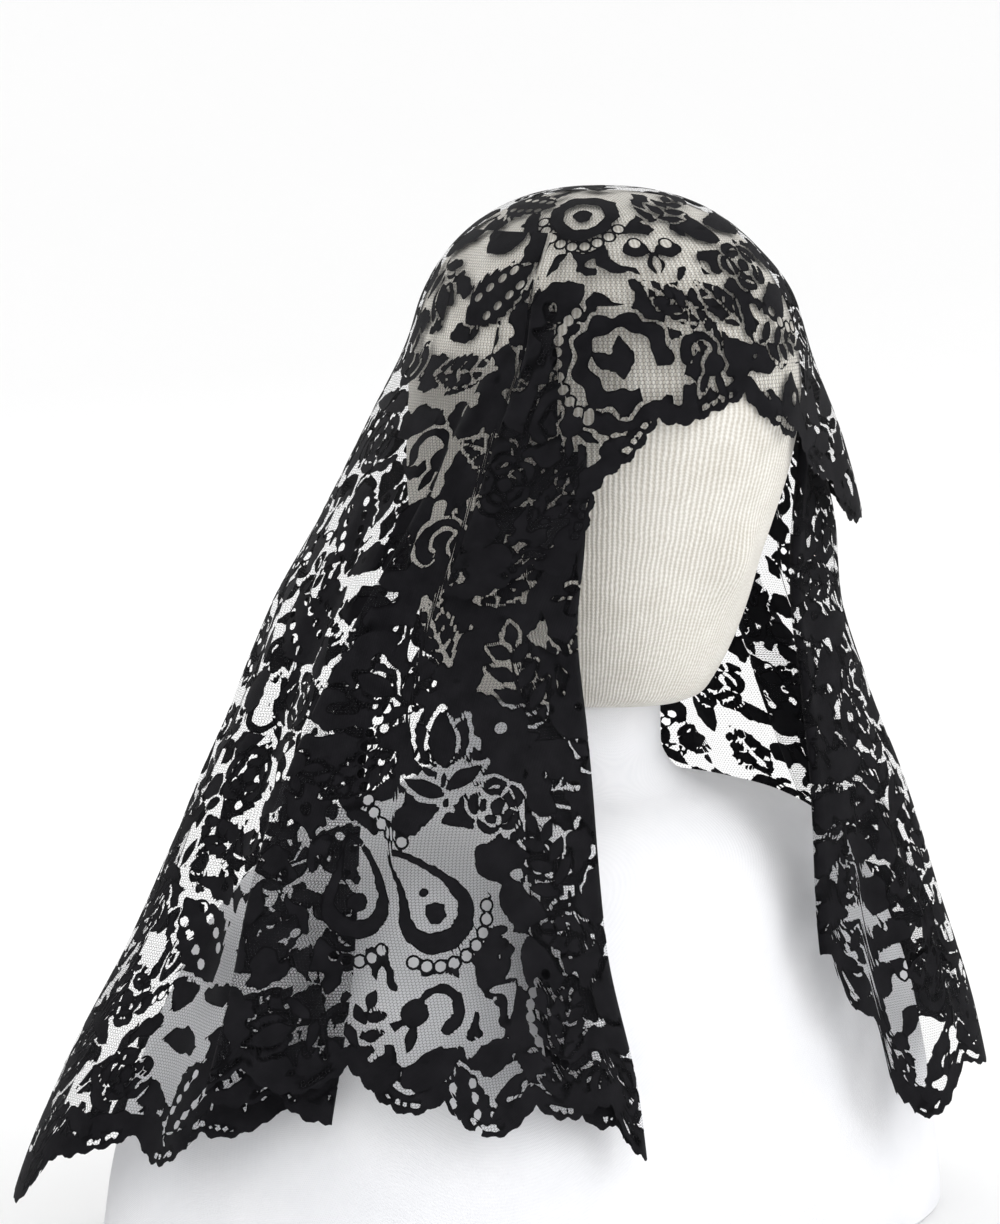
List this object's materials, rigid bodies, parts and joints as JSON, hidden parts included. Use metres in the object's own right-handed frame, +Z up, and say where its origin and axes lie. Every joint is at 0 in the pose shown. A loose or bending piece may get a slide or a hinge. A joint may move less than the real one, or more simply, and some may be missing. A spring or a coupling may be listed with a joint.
{
  "type": "lace mantilla on a head-and-shoulders display form",
  "caption": "Black lace mantilla with a scalloped edge, laid over the head of a plain display form, folded back at the temples and hanging to the chest and upper back.",
  "frame": {"origin": "point on the form's flat underside, straight below the middle of the head", "axes": "+Z up; the form looks along -Y, so its own right side is towards -X"},
  "size_m": [0.5104, 0.3427, 0.4988],
  "materials": {
    "black_lace": "matte",
    "jersey": "matte",
    "white_cover": "matte"
  },
  "bodies": {
    "root": {"form_bust": "white_cover", "form_head": "jersey", "veil_back_fall": "black_lace", "veil_front": "black_lace", "veil_left_fall": "black_lace", "veil_right_fall": "black_lace"}
  },
  "joints": []
}
